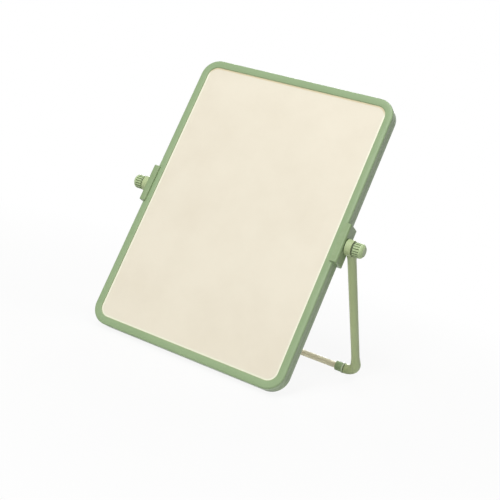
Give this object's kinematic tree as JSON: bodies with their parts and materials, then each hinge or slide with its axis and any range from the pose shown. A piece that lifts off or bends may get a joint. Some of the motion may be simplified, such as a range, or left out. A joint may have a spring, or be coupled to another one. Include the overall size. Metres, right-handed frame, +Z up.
{
  "type": "magnetic whiteboard on a folding stand",
  "caption": "Upright magnetic whiteboard in a sage-green frame, pivoting between two clamped legs joined by a metal crossbar, with a ribbed knob on each pivot.",
  "frame": {"origin": "on the floor plane, under the middle of the object's width and depth", "axes": "+Z up, -Y towards the side that the front writing face looks at, +X to the right seen from there"},
  "size_m": [0.2726, 0.1894, 0.2979],
  "materials": {
    "sage_plastic": "satin moulded plastic",
    "panel_enamel": "glossy cream enamel on steel sheet",
    "core_card": "plain",
    "insert_brass": "turned",
    "bolt_steel": "zinc plated",
    "tube_steel": "satin plated",
    "dark_nylon": "matte",
    "ring_rubber": "matte"
  },
  "bodies": {
    "stand": {"left_leg": "sage_plastic", "right_leg": "sage_plastic", "left_ferrule": "sage_plastic", "right_ferrule": "sage_plastic", "left_friction_ring": "ring_rubber", "right_friction_ring": "ring_rubber", "crossbar_tube": "tube_steel"},
    "board": {"front_frame": "sage_plastic", "rear_frame": "sage_plastic", "front_writing_sheet": "panel_enamel", "rear_writing_sheet": "panel_enamel", "core_board": "core_card", "left_clamp": "sage_plastic", "right_clamp": "sage_plastic", "left_insert": "insert_brass", "right_insert": "insert_brass"},
    "left_knob_carrier": {"left_knob_washer": "dark_nylon"},
    "left_knob_screw": {"left_knob": "sage_plastic", "left_knob_bolt": "bolt_steel", "left_knob_cap": "sage_plastic"},
    "right_knob_carrier": {"right_knob_washer": "dark_nylon"},
    "right_knob_screw": {"right_knob": "sage_plastic", "right_knob_bolt": "bolt_steel", "right_knob_cap": "sage_plastic"}
  },
  "joints": [
    {"name": "board_flip", "type": "hinge", "parent": "stand", "child": "board", "pos_m": [0, -0.03304, 0.15035], "axis": [1, 0, 0], "continuous": true},
    {"name": "left_knob_travel", "type": "slide", "parent": "board", "child": "left_knob_carrier", "axis": [-1, 0, 0], "range_m": [0, 0.0016]},
    {"name": "left_knob_turn", "type": "hinge", "parent": "left_knob_carrier", "child": "left_knob_screw", "pos_m": [0, -0.03304, 0.15035], "axis": [-1, 0, 0], "range_deg": [0, 720.1]},
    {"name": "right_knob_travel", "type": "slide", "parent": "board", "child": "right_knob_carrier", "axis": [1, 0, 0], "range_m": [0, 0.0016]},
    {"name": "right_knob_turn", "type": "hinge", "parent": "right_knob_carrier", "child": "right_knob_screw", "pos_m": [0, -0.03304, 0.15035], "axis": [1, 0, 0], "range_deg": [0, 720.1]}
  ],
  "couplings": [
    {"joint": "left_knob_turn", "follows": "left_knob_travel", "rad_per_m": 7854},
    {"joint": "right_knob_turn", "follows": "right_knob_travel", "rad_per_m": 7854}
  ]
}
